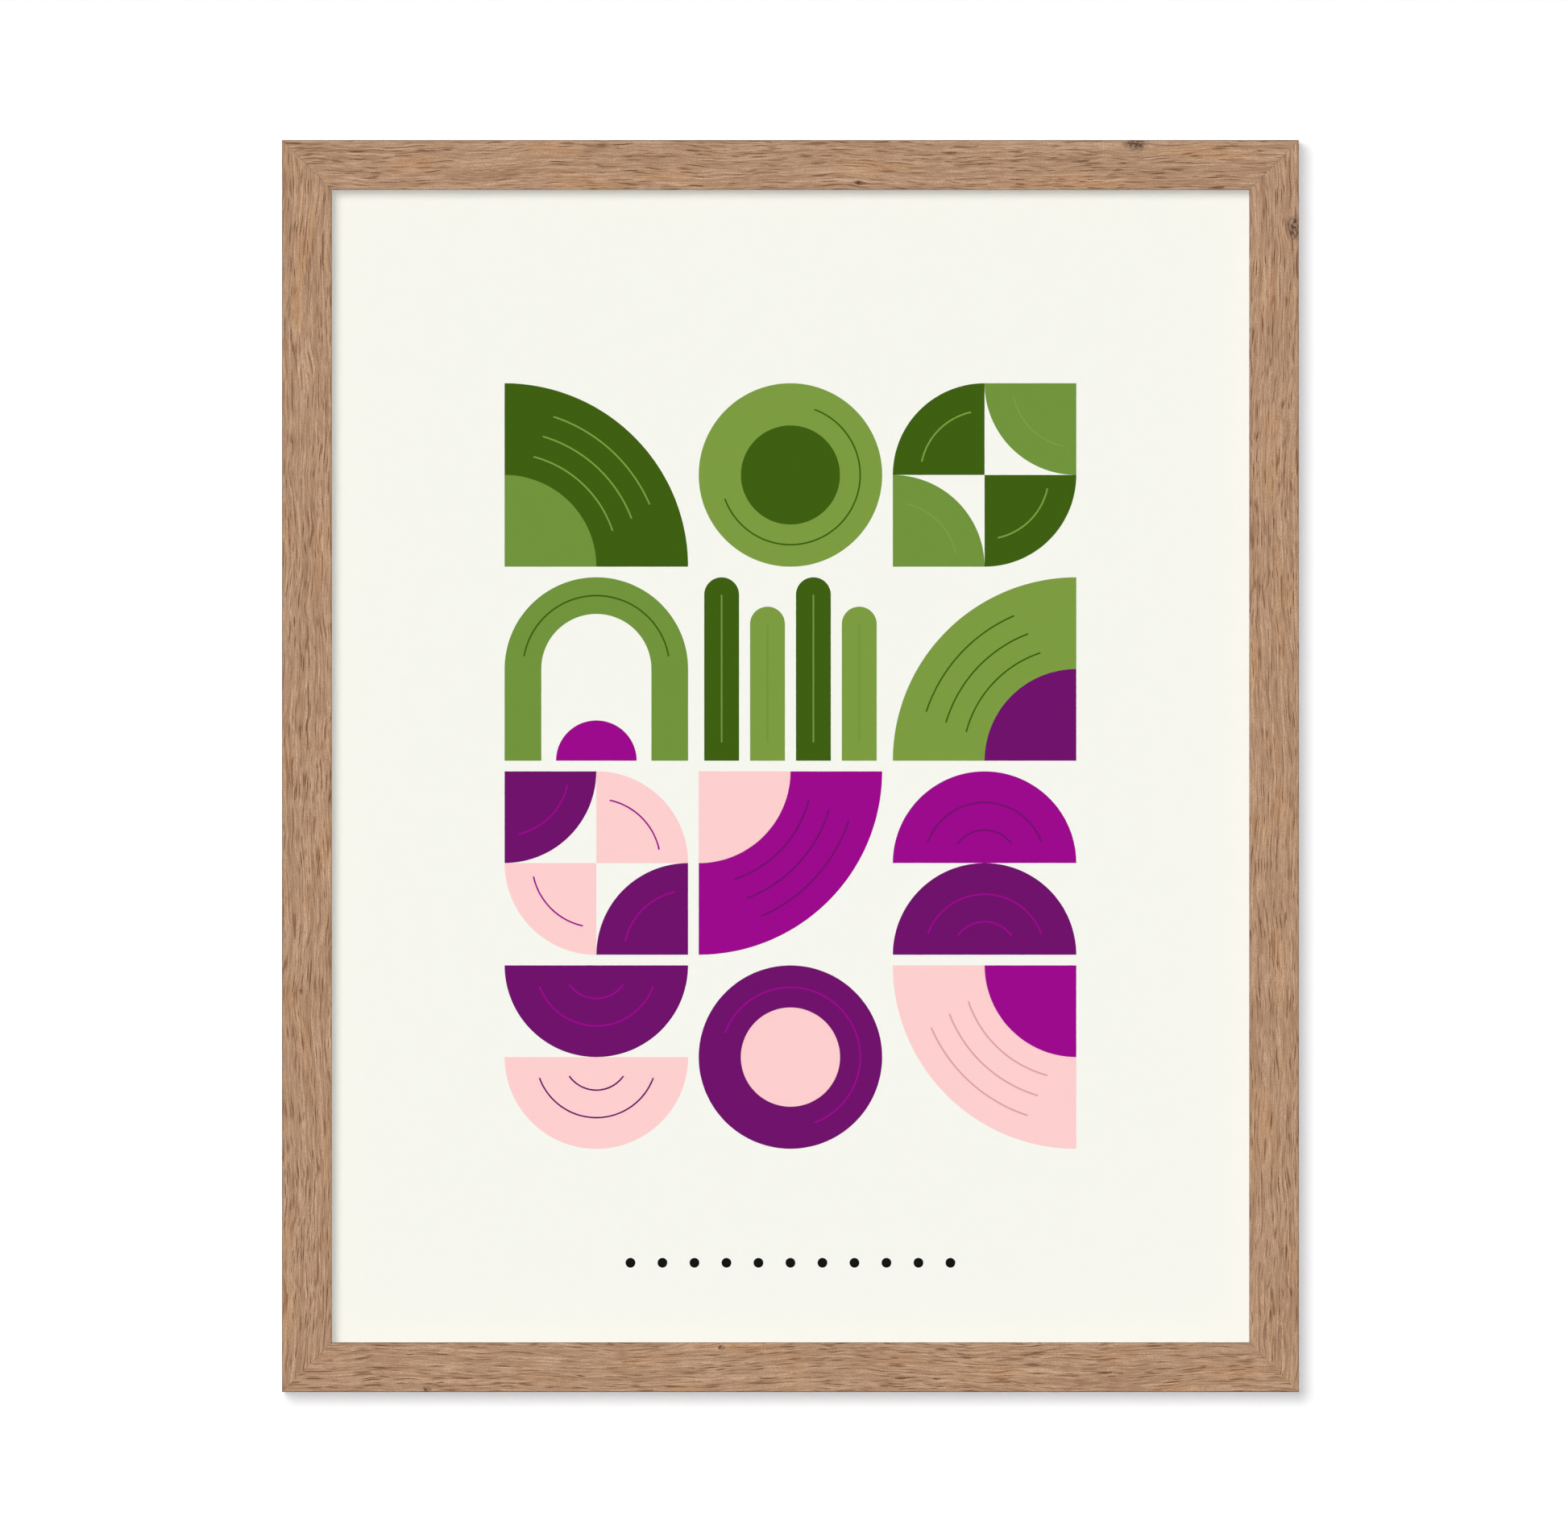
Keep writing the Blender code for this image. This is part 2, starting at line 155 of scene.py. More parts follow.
# Oak's grain, in millimetres on the rail's own axes
GRAIN_WAVES = (  # each (length, width, offset, height)
    (90, 60, 3.1, 9),
    (17, 12, 8.7, 1.6),
    (4, 3, 4.2, 0.16),
)
RAIL_STEP = 731.0  # how far apart in the wood one rail and the next are cut
LINE_GAP = 1.9  # between thin broken lines
KNOT_SQUASH = 1.5  # how much longer a knot is along the grain than across it
KNOT_FADE = 0.6  # how fast a knot fades with depth, beside how fast it does along the grain
OUTER_BAND = 10.0  # what lies closer than this to the outer edge may take the painted shade on the arris
KNOTS = {  # by rail, each (along, inset, radius)
    "rail_top": [(-146.8, 1.3, 5.0), (-28.8, 17.9, 1.6)],
    "rail_bottom": [(-29.4, 18.9, 1.6), (-154.4, 1.0, 1.9)],
    "rail_left": [(96.0, 8.0, 1.3)],
    "rail_right": [(228.7, 1.5, 5.4)],
}

# The print's inks in 0 to 255 display values. The first is the paper itself.
INKS = {
    "paper": (247, 247, 239),
    "dark green": (63, 95, 18),
    "mid green": (113, 148, 61),
    "light green": (125, 156, 66),
    "purple": (112, 19, 108),
    "magenta": (156, 11, 141),
    "pink": (254, 207, 207),
    "dusty pink": (222, 160, 168),
    "black": (22, 22, 20),
}

# Artwork, in millimetres about the print's centre
TILE = 78.0
TILE_GUTTER = 4.5
ROW_DOTS = 11
ROW_DOTS_WIDTH = 136.0
ROW_DOTS_DROP = 211.2  # below the print's centre
DOT_RADIUS = 2.1
LINE = 0.7  # width of the thin printed lines
CHORD = 0.6  # longest step along a printed curve
SAME_SPOT = 1e-5  # corners of the artwork that lie closer together become one
SAME_PLANE = 0.0001 * MM

# Light: strengths in watts a square metre, power in watts, angles in degrees
PRINT_GAIN = 1.12  # how much brighter than its own colour the lit print is seen
WOOD_GAIN = 1.18
KEY_SLANT = 12.5  # to the right and down, where the frame's shadow falls
KEY_STRENGTH = 1.82
KEY_SPREAD = 25
FILL_STRENGTH = 1.74
FILL_SPREAD = 2
LAMP_WIDTH = 1.6
LAMP_POWER = 80
LAMP_AIM = Vector((0, 0, -0.25))

# Stage, in metres
STAGE_BOTTOM = -1.1
WALL_TOP = 1.3
WALL_REACH = 1.7
WALL_COLOUR = (0.879, 0.887, 0.899, 1.0)
FLOOR_REACH = 14.0
FLOOR_COLOUR = (0.85, 0.85, 0.84, 1.0)
FLOOR_GLOW = (0.97, 0.97, 0.97, 1.0)
FLOOR_GLOW_SHARE = 0.9


# Materials


def linear(red, green, blue, gain=1.0):
    """A colour of 0 to 255 display values, as the linear values that a shader takes, divided by the gain."""
    def channel(value):
        value /= 255
        return (value / 12.92 if value <= 0.04045 else ((value + 0.055) / 1.055) ** 2.4) / gain
    return channel(red), channel(green), channel(blue), 1.0


class Shader:
    """The node tree of a material or a world, with short ways to add nodes and join them."""

    def __init__(self, owner, output="OutputMaterial"):
        owner.use_nodes = True
        self.owner = owner
        self.tree = owner.node_tree
        self.tree.nodes.clear()
        self.output = self.add(output)

    def finish(self, shader):
        """The material or world, with this shader on its output."""
        self.tree.links.new(shader, self.output.inputs["Surface"])
        return self.owner

    def add(self, kind, inputs=(), **settings):
        """A node of this kind, with settings, and with inputs given by name or number."""
        node = self.tree.nodes.new("ShaderNode" + kind)
        for name, value in settings.items():
            setattr(node, name, value)
        for name, value in dict(inputs).items():
            if isinstance(value, bpy.types.NodeSocket):
                self.tree.links.new(value, node.inputs[name])
            else:
                node.inputs[name].default_value = value
        return node

    def math(self, operation, *values, clamp=False):
        return self.add("Math", dict(enumerate(values)), operation=operation, use_clamp=clamp).outputs[0]

    def times(self, first, second):
        return self.math("MULTIPLY", first, second)

    def vector(self, operation, *values):
        return self.add("VectorMath", dict(enumerate(values)), operation=operation).outputs[0]

    def scaled(self, vector, factor):
        return self.add("VectorMath", {"Vector": vector, "Scale": factor}, operation="SCALE").outputs[0]

    def length(self, vector):
        return self.add("VectorMath", {"Vector": vector}, operation="LENGTH").outputs["Value"]

    def combine(self, x, y, z=0.0):
        return self.add("CombineXYZ", {"X": x, "Y": y, "Z": z}).outputs[0]

    def split(self, vector):
        return self.add("SeparateXYZ", {"Vector": vector}).outputs

    def millimetres(self):
        """The place on the object's own axes, in millimetres."""
        return self.scaled(self.add("TexCoord").outputs["Object"], 1 / MM)

    def noise(self, vector, scale=1.0, detail=2.0, roughness=0.5, dimensions="3D"):
        inputs = {"Vector": vector, "Scale": scale, "Detail": detail, "Roughness": roughness}
        return self.add("TexNoise", inputs, noise_dimensions=dimensions).outputs["Fac"]

    def ramp(self, value, low, high, from_value=0.0, to_value=1.0):
        """The value taken smoothly from low..high to from_value..to_value, and held outside that."""
        inputs = {"Value": value, "From Min": low, "From Max": high}
        inputs.update({"To Min": from_value, "To Max": to_value})
        return self.add("MapRange", inputs, interpolation_type="SMOOTHSTEP").outputs["Result"]

    def mix(self, factor, first, second):
        return self.add("Mix", {0: factor, 6: first, 7: second}, data_type="RGBA").outputs[2]

    def mix_shaders(self, factor, first, second):
        return self.add("MixShader", {0: factor, 1: first, 2: second}).outputs[0]

    def bump(self, height, distance, strength=1.0):
        inputs = {"Height": height, "Distance": distance, "Strength": strength}
        return self.add("Bump", inputs).outputs[0]

    def principled(self, **inputs):
        """The material, with a Principled BSDF. Underscores in input names stand for spaces."""
        named = {name.replace("_", " "): value for name, value in inputs.items()}
        return self.finish(self.add("BsdfPrincipled", named).outputs[0])


def new_material(name):
    return Shader(bpy.data.materials.new(name))


class Grain:
    """Where a place on a rail lies in its wood: how far along the grain, and on which line of it.

    A pattern is given by the length and width of its cells, and by an offset that sets it apart from others.
    """

    def __init__(self, shader, along, across, seed):
        self.shader = shader
        self.along = shader.math("ADD", along, seed * RAIL_STEP)
        self.line = across
        for length, width, offset, height in GRAIN_WAVES:
            further = shader.math("ADD", shader.math("DIVIDE", self.along, length), offset)
            place = shader.combine(further, shader.math("DIVIDE", across, width))
            wave = shader.math("SUBTRACT", shader.noise(place, detail=1, dimensions="2D"), 0.5)
            self.line = shader.math("ADD", self.line, shader.times(wave, height))

    def part(self, away, pull):
        """Draws the grain's lines apart by a pull, with away as how far they lie off its middle."""
        self.line = self.shader.math("SUBTRACT", self.line, self.shader.times(away, pull))

    def cells(self, length, width, offset):
        s = self.shader
        return s.combine(
            s.math("ADD", s.math("DIVIDE", self.along, length), offset * 7.3),
            s.math("ADD", s.math("DIVIDE", self.line, width), offset * 3.1),
        )

    def noise(self, length, width, offset, detail=1, roughness=0.5):
        cells = self.cells(length, width, offset)
        return self.shader.noise(cells, detail=detail, roughness=roughness, dimensions="2D")

    def pores(self, grit, length, width, offset, inner, outer):
        """Short dashes, each as dark as chance has it: up to 1 within inner, and 0 past outer."""
        s = self.shader
        inputs = {"Vector": self.cells(length, width, offset), "Scale": 1.0}
        cells = s.add("TexVoronoi", inputs, voronoi_dimensions="2D").outputs
        chance = s.split(cells["Color"])[0]
        ragged = s.math("MULTIPLY_ADD", grit, 0.16, s.math("SUBTRACT", cells["Distance"], 0.08))
        return s.times(s.ramp(ragged, inner, outer, 1, 0), s.ramp(chance, 0.1, 0.95, 0.15, 1))

    def dark_pores(self, grit, bands):
        """Long and middling pores, gathered in the bands, and thin broken lines."""
        s = self.shader
        long = s.times(self.pores(grit, 28.0, 1.25, 2.2, 0.06, 0.17), s.ramp(bands, 0.30, 0.45, 0.3, 1))
        middling = s.times(self.pores(grit, 15.0, 0.95, 4.8, 0.06, 0.17), s.ramp(bands, 0.42, 0.58, 0, 1))
        course = s.math("MULTIPLY_ADD", self.noise(70, 5.0, 8.3), 4.0, s.math("DIVIDE", self.line, LINE_GAP))
        broken = s.ramp(self.noise(13, 1.6, 4.4), 0.5, 0.66, 0, 0.68)
        lines = s.times(s.ramp(s.math("PINGPONG", course, 0.5), 0.04, 0.14, 1, 0), broken)
        return s.math("MAXIMUM", s.math("MAXIMUM", long, middling), lines)


def grow_knots(grain, knots, along, inset, below_front):
    """Leads the grain round the knots, and returns how much each place belongs to one, from 0 to 1."""
    s = grain.shader
    knotty = 0.0
    for knot_along, knot_inset, radius in knots:
        away_along = s.math("SUBTRACT", along, knot_along)
        away_across = s.math("SUBTRACT", inset, knot_inset)
        away = s.combine(away_along, s.times(away_across, KNOT_SQUASH), s.times(below_front, KNOT_FADE))
        reach = s.length(away)
        grain.part(away_across, s.ramp(reach, 0, radius * 3, 0.65, 0))
        knotty = s.math("MAXIMUM", knotty, s.ramp(reach, radius * 0.3, radius * 1.4, 1, 0))
    return knotty


def oak(name, seed, length, front, knots):
    """Oak with open pores that follow a slow wave along the rail, and round its knots."""
    s = new_material(name)
    along, inset, height = s.split(s.millimetres())
    grain = Grain(s, along, s.math("ADD", inset, height), seed)  # across the rail's faces, rolled out flat
    knotty = grow_knots(grain, knots, along, inset, s.math("SUBTRACT", front / MM, height))

    grit = grain.noise(0.7, 0.62, 6.1)
    bands = grain.noise(130, 4.5, 1.3, detail=2)
    tone = grain.noise(90, 2.6, 7.1, detail=3, roughness=0.6)
    warmth = grain.noise(45, 11.0, 3.9)
    streaks = grain.noise(36, 1.0, 9.2, detail=2, roughness=0.55)
    threads = grain.noise(8, 0.62, 5.5)
    specks = grain.noise(1.9, 0.55, 2.7, detail=2, roughness=0.6)
    fine_pores = s.times(grain.pores(grit, 6.5, 0.65, 6.6, 0.1, 0.27), s.ramp(tone, 0.42, 0.62, 0.1, 1))
    dark_pores = grain.dark_pores(grit, bands)

    # Painted shade along the outer arris: where the faces turn near the outer edge, the colour is darkened
    slopes = s.split(s.vector("ABSOLUTE", s.add("TexCoord").outputs["Normal"]))
    squareness = s.math("MAXIMUM", slopes["Y"], slopes["Z"])
    painted_arris_shade = s.times(s.ramp(squareness, 0.99, 0.85, 0, 0.6), s.math("LESS_THAN", inset, OUTER_BAND))
    from_mitre = s.math("SUBTRACT", s.math("SUBTRACT", length / 2 / MM, s.math("ABSOLUTE", along)), inset)
    mitre = s.times(s.ramp(from_mitre, 0.08, 0.28, 1, 0), s.ramp(tone, 0.35, 0.6, 0.1, 0.6))

    colour = linear(*OAK["dark ground"], gain=WOOD_GAIN)
    for amount, over in (
        (s.ramp(tone, 0.3, 0.7), "pale ground"),
        (s.ramp(warmth, 0.52, 0.75, 0, 0.5), "warm ground"),
        (s.ramp(bands, 0.36, 0.6, 0, 0.15), "dense bands"),
        (s.ramp(streaks, 0.46, 0.26, 0, 0.65), "pale streaks"),
        (s.ramp(streaks, 0.54, 0.78, 0, 0.5), "dark streaks"),
        (s.ramp(threads, 0.5, 0.8, 0, 0.32), "threads"),
        (s.ramp(threads, 0.5, 0.25, 0, 0.4), "pale streaks"),
        (s.ramp(grit, 0.35, 0.65, 0, 0.36), "grit"),
        (s.times(fine_pores, 0.7), "fine pores"),
        (s.times(dark_pores, 0.88), "dark pores"),
        (s.times(knotty, 0.35), "round a knot"),
        (s.times(knotty, s.ramp(specks, 0.4, 0.62, 0.25, 1)), "knots"),
        # painted shade on the outer arris
        (painted_arris_shade, "painted arris shade"),
        (mitre, "mitre"),
    ):
        colour = s.mix(amount, colour, linear(*OAK[over], gain=WOOD_GAIN))

    depth = s.math("MULTIPLY_ADD", streaks, -0.5, s.times(dark_pores, -1.0))
    rough = s.math("MULTIPLY_ADD", dark_pores, 0.25, 0.52)
    normal = s.bump(depth, 0.18 * MM)
    return s.principled(Base_Color=colour, Roughness=rough, Specular_IOR_Level=0.25, Normal=normal)


def printed(name, colour):
    """A colour printed on matt paper, with the paper's fine tooth showing through it."""
    s = new_material(name)
    tooth = s.noise(s.millimetres(), scale=2.2, detail=1, roughness=0.6)
    toned = s.scaled(linear(*colour, gain=PRINT_GAIN)[:3], s.ramp(tooth, 0.3, 0.7, 0.99, 1))
    return s.principled(Base_Color=toned, Roughness=0.85, Specular_IOR_Level=0.0)


def clear_pane(name):
    """Clear acrylic: it lets light straight through with a faint tint, and mirrors more at a slant."""
    s = new_material(name)
    slant = s.add("LayerWeight", {"Blend": 0.5}).outputs["Facing"]
    mirror = s.math("MULTIPLY_ADD", s.math("POWER", slant, 5.0), 0.97, 0.02)
    through = s.add("BsdfTransparent", {"Color": (0.996, 0.998, 0.997, 1.0)}).outputs[0]
    gloss = s.add("BsdfGlossy", {"Color": WHITE, "Roughness": 0.03}).outputs[0]
    return s.finish(s.mix_shaders(mirror, through, gloss))


def fibreboard(name):
    """Hard fibreboard: pressed fibres under soft clouds, and a few dark shives."""
    s = new_material(name)
    place = s.millimetres()
    fibre = s.noise(place, scale=0.9, detail=5, roughness=0.7)
    cloud = s.noise(place, scale=0.02, detail=3)
    cells = s.add("TexVoronoi", {"Vector": place, "Scale": 0.22}).outputs
    shive = s.ramp(cells["Distance"], 0.05, 0.16, 0.5, 0)
    colour = s.mix(s.ramp(fibre, 0.3, 0.7), linear(136, 98, 64), linear(172, 132, 92))
    colour = s.mix(s.ramp(cloud, 0.3, 0.7, 0, 0.22), colour, linear(120, 84, 54))
    colour = s.mix(shive, colour, linear(86, 58, 38))
    normal = s.bump(fibre, 0.05 * MM, 0.5)
    return s.principled(Base_Color=colour, Roughness=0.72, Specular_IOR_Level=0.25, Normal=normal)


def plated(name, colour, roughness):
    """Plated sheet steel with a fine rolled grain and a soft bloom."""
    s = new_material(name)
    place = s.millimetres()
    bloom = s.noise(place, scale=0.5, detail=3)
    rolled = s.noise(s.vector("MULTIPLY", place, (6.0, 6.0, 0.4)), detail=2)
    tint = s.mix(s.ramp(bloom, 0.3, 0.7), linear(*(0.92 * c for c in colour)), linear(*colour))
    rough = s.math("ADD", roughness, s.times(s.math("SUBTRACT", bloom, 0.5), 0.12))
    normal = s.bump(rolled, 0.01 * MM, 0.5)
    return s.principled(Base_Color=tint, Metallic=1.0, Roughness=rough, Normal=normal)


def felt(name):
    """Pale wool felt."""
    s = new_material(name)
    fluff = s.noise(s.millimetres(), scale=3.0, detail=4, roughness=0.7)
    colour = s.mix(s.ramp(fluff, 0.3, 0.7), linear(176, 170, 158), linear(222, 217, 206))
    normal = s.bump(fluff, 0.15 * MM, 0.8)
    return s.principled(Base_Color=colour, Roughness=0.95, Sheen_Weight=0.3, Normal=normal)


# Shapes


def linked(name, data):
    """A new object of this data, in the scene."""
    made = bpy.data.objects.new(name, data)
    bpy.context.scene.collection.objects.link(made)
    return made


def piece(name, mesh, body, node, matrix=None):
    """Links the mesh as a piece that rides on a body and stands for a node."""
    made = linked(name, mesh)
    if matrix:
        made.matrix_world = matrix
    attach(made, body)
    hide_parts(node)


def finished(name, shape, *materials):
    """The bmesh as a mesh, faces outwards, with these materials."""
    bmesh.ops.recalc_face_normals(shape, faces=shape.faces)
    mesh = bpy.data.meshes.new(name)
    shape.to_mesh(mesh)
    shape.free()
    for material in materials:
        mesh.materials.append(material)
    return mesh


def smooth(mesh, angle=35, flat_area=math.inf):
    """Rounds the shading over edges that turn by less than the angle, in degrees, but not on larger flats."""
    # A mesh that was made from a node, or cut with one, still holds that node's normals
    inherited = mesh.attributes.get("custom_normal")
    if inherited:
        mesh.attributes.remove(inherited)
    mesh.shade_smooth()
    mesh.set_sharp_from_angle(angle=math.radians(angle))
    for face in mesh.polygons:
        face.use_smooth = face.area < flat_area
    return mesh


def carved(mesh, cutters, matrix=None):
    """The mesh without what lies in the cutters, which are meshes in the frame's own axes."""
    group = bpy.data.collections.new("cutters")
    bpy.context.scene.collection.children.link(group)
    for cutter in cutters:
        group.objects.link(bpy.data.objects.new(cutter.name, cutter))
    host = linked(mesh.name, mesh)
    if matrix:
        host.matrix_world = matrix
    cut = host.modifiers.new("Cut", "BOOLEAN")
    cut.operation = "DIFFERENCE"
    cut.operand_type = "COLLECTION"
    cut.collection = group
    cut.solver = "EXACT"
    made = bpy.data.meshes.new_from_object(host.evaluated_get(bpy.context.evaluated_depsgraph_get()))
    for item in (host, *group.objects):
        bpy.data.objects.remove(item)
    bpy.data.collections.remove(group)
    shape = bmesh.new()
    shape.from_mesh(made)
    bmesh.ops.remove_doubles(shape, verts=shape.verts, dist=WELD)
    bmesh.ops.dissolve_degenerate(shape, edges=shape.edges, dist=WELD)
    shape.to_mesh(made)
    shape.free()
    return made


def prism(outline, front, back):
    """A solid with this outline of (x, z) points, between two depths."""
    shape = bmesh.new()
    rings = [[shape.verts.new((x, y, z)) for x, z in outline] for y in (front, back)]
    shape.faces.new(rings[0])
    shape.faces.new(reversed(rings[1]))
    for i in range(len(outline)):
        shape.faces.new((rings[0][i - 1], rings[0][i], rings[1][i], rings[1][i - 1]))
    return shape


def revolved(profile, sides=48):
    """A solid round the Y axis, from (radius, y) points that start and end on the axis."""
    shape = bmesh.new()
    turns = [2 * math.pi * i / sides for i in range(sides)]
    rings = []
    for radius, y in profile:
        if radius:
            ring = [(radius * math.sin(turn), y, radius * math.cos(turn)) for turn in turns]
            rings.append([shape.verts.new(place) for place in ring])
        else:
            rings.append([shape.verts.new((0, y, 0))] * sides)
    for near, far in zip(rings, rings[1:]):
        for i in range(sides):
            shape.faces.new(dict.fromkeys((near[i - 1], near[i], far[i], far[i - 1])))
    return shape


def dome(radius, front, height, steps=8):
    """The (radius, y) points of a rounded head, from its top on the axis to its rim."""
    angles = [QUARTER_TURN * i / steps for i in range(1, steps + 1)]
    return [(0, front + height)] + [(radius * math.sin(a), front + height * math.cos(a)) for a in angles]


def domed_pin(name, node, material, head_radius, head_height, shank_radius, point):
    """A round pin on the Y axis, as deep as the node, with a domed head behind and a point in front."""
    low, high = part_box(node)
    front = high.y - head_height
    shank = [(shank_radius, front), (shank_radius, low.y + point), (0, low.y)]
    return finished(name, revolved(dome(head_radius, front, head_height) + shank), material)


def ease(shape, width, segments=2, angle=40):
    """Rounds the shape's edges that turn by more than the angle, in degrees."""
    bmesh.ops.remove_doubles(shape, verts=shape.verts, dist=WELD)
    bmesh.ops.dissolve_limit(shape, angle_limit=math.radians(1), verts=shape.verts, edges=shape.edges)
    sharp = [e for e in shape.edges if e.is_manifold and e.calc_face_angle() > math.radians(angle)]
    bmesh.ops.bevel(shape, geom=sharp, offset=width, segments=segments, profile=0.5, affect="EDGES")


def curve(centre, radius, start, end, chord=CHORD):
    """Points on an arc about centre, with angles in degrees and no step longer than the chord."""
    span = math.radians(end - start)
    steps = max(2, math.ceil(abs(span) * radius / chord))
    angles = [math.radians(start) + span * i / steps for i in range(steps + 1)]
    return [(centre[0] + radius * math.cos(a), centre[1] + radius * math.sin(a)) for a in angles]


def centre_of(node):
    low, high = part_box(node)
    return (low + high) / 2


# Rails


def rail_sizes():
    """The rails' sizes, read from the frame's nodes."""
    top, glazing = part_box("rail_top"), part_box("glazing")
    low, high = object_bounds()
    return {
        "face": top[1].z - top[0].z,
        "front": -top[0].y,
        "back": -top[1].y,
        "floor": -(glazing[0].y - TOUCH_GAP),
        "rabbet": (high.x - glazing[1].x) - SHEET_CLEARANCE,
        "width": high.x - low.x,
        "height": top[1].z - low.z,
        "middle": (top[1].z + low.z) / 2,
    }


def rail_section(sizes):
    """The section as (inset, height) points, with rounded arrises."""
    def rounded(centre_inset, centre_height, start):
        """A quarter turn, with a point of the flat on either side that keeps the flats' shading flat."""
        centre = Vector((centre_inset, centre_height))
        turns = [start + QUARTER_TURN * i / ARRIS_STEPS for i in range(ARRIS_STEPS + 1)]
        arc = [centre + ARRIS_RADIUS * Vector((math.cos(t), math.sin(t))) for t in turns]
        before = arc[0] - ARRIS_FLAT * Vector((-math.sin(turns[0]), math.cos(turns[0])))
        after = arc[-1] + ARRIS_FLAT * Vector((-math.sin(turns[-1]), math.cos(turns[-1])))
        return [before, *arc, after]
    face, front, back, floor = sizes["face"], sizes["front"], sizes["back"], sizes["floor"]
    near, far = ARRIS_RADIUS, face - ARRIS_RADIUS
    return [
        *rounded(far, front - ARRIS_RADIUS, 0),
        *rounded(near, front - ARRIS_RADIUS, QUARTER_TURN),
        *rounded(near, back + ARRIS_RADIUS, math.pi),
        (sizes["rabbet"], back),
        (sizes["rabbet"], floor),
        (face, floor),
    ]


def make_rail(node, turn, length, outer_middle, sizes, slots, seed):
    """One rail, mitred at both ends, on its own axes."""
    shape = bmesh.new()
    section = rail_section(sizes)
    rings = [[shape.verts.new((side * (length / 2 - x), x, y)) for x, y in section] for side in (-1, 1)]
    for i in range(len(section)):
        shape.faces.new((rings[0][i - 1], rings[0][i], rings[1][i], rings[1][i - 1]))
    shape.faces.new(rings[0])
    shape.faces.new(reversed(rings[1]))
    mesh = finished(node, shape, oak(f"oak {node}", seed, length, sizes["front"], KNOTS[node]))
    matrix = (
        Matrix.Translation(outer_middle)
        @ Matrix.Rotation(turn, 4, "Y")
        @ Matrix.Rotation(QUARTER_TURN, 4, "X")
    )
    piece(f"oak_{node}", smooth(carved(mesh, slots, matrix)), "frame", node, matrix)


def nail_slots(back):
    """Cutters for the slots that the V-nails were pressed into, open at the rails' back."""
    slots = []
    for name, node in frame["nodes"].items():
        if name.startswith("v_nail"):
            slot = node.data.copy()
            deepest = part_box(name)[1].y
            for vertex in slot.vertices:
                if vertex.co.y > deepest - TOUCH_GAP:
                    vertex.co.y = back + OVERCUT
            slots.append(slot)
    return slots


def make_rails():
    """The four rails, each cut for the V-nails at its ends."""
    sizes = rail_sizes()
    slots = nail_slots(-sizes["back"])
    width, height, middle = sizes["width"], sizes["height"], sizes["middle"]
    make_rail("rail_bottom", 0, width, Vector((0, 0, middle - height / 2)), sizes, slots, 1)
    make_rail("rail_right", -QUARTER_TURN, height, Vector((width / 2, 0, middle)), sizes, slots, 2)
    make_rail("rail_top", math.pi, width, Vector((0, 0, middle + height / 2)), sizes, slots, 3)
    make_rail("rail_left", QUARTER_TURN, height, Vector((-width / 2, 0, middle)), sizes, slots, 4)


# The fixings on the back


def button_plate(material):
    """A turn button with its pivot on the Y axis and its tip towards +Z."""
    low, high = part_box(f"turn_button_{BUTTON_ORDER[0]}")
    tip_centre = BUTTON_REACH - BUTTON_TIP_RADIUS
    lean = math.degrees(math.asin((BUTTON_HEAD_RADIUS - BUTTON_TIP_RADIUS) / tip_centre))
    outline = [
        *curve((0, 0), BUTTON_HEAD_RADIUS, 180 - lean, 360 + lean, BUTTON_CHORD),
        *curve((0, tip_centre), BUTTON_TIP_RADIUS, lean, 180 - lean, BUTTON_CHORD),
    ]
    near, far = low.y - OVERCUT, OVERCUT
    hole = revolved([(0, near), (BUTTON_HOLE_RADIUS, near), (BUTTON_HOLE_RADIUS, far), (0, far)])
    plate = carved(finished("plate", prism(outline, low.y, high.y)), [finished("hole", hole)])
    shape = bmesh.new()
    shape.from_mesh(plate)
    ease(shape, BUTTON_EDGE, 3)
    return smooth(finished("turn button", shape, material), flat_area=PLATE_FLAT)


def button_screw(material):
    """A screw on the Y axis, with a cross recess in its head."""
    node = f"turn_button_screw_{BUTTON_ORDER[0]}"
    whole = domed_pin(
        "screw", node, material, SCREW_HEAD_RADIUS, SCREW_HEAD_HEIGHT, SCREW_SHANK_RADIUS, SCREW_POINT
    )
    cross = []
    long, short = RECESS_REACH, RECESS_WIDTH / 2
    for turn in range(4):
        spin = Matrix.Rotation(turn * QUARTER_TURN, 2)
        cross += [tuple(spin @ Vector(point)) for point in ((long, -short), (long, short), (short, short))]
    recess = prism(cross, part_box(node)[1].y - RECESS_DEPTH, OVERCUT)
    return smooth(carved(whole, [finished("recess", recess)]))


def make_buttons():
    """The turn buttons, each on its screw."""
    button = button_plate(plated("zinc plate", (196, 200, 206), 0.32))
    screw = button_screw(plated("screw steel", (186, 188, 192), 0.28))
    for order, name in enumerate(BUTTON_ORDER):
        pivot = centre_of(f"turn_button_screw_{name}")
        tongue = centre_of(f"turn_button_{name}") - pivot
        place = Matrix.Translation((pivot.x, 0, pivot.z))
        turned = place @ Matrix.Rotation(math.atan2(tongue.x, tongue.z), 4, "Y")
        piece(f"plated_button_{name}", button, f"button_{name}", f"turn_button_{name}", turned)
        driven = place @ Matrix.Rotation(DRIVEN_STEP * order, 4, "Y")
        piece(f"steel_screw_{name}", screw, "frame", f"turn_button_screw_{name}", driven)


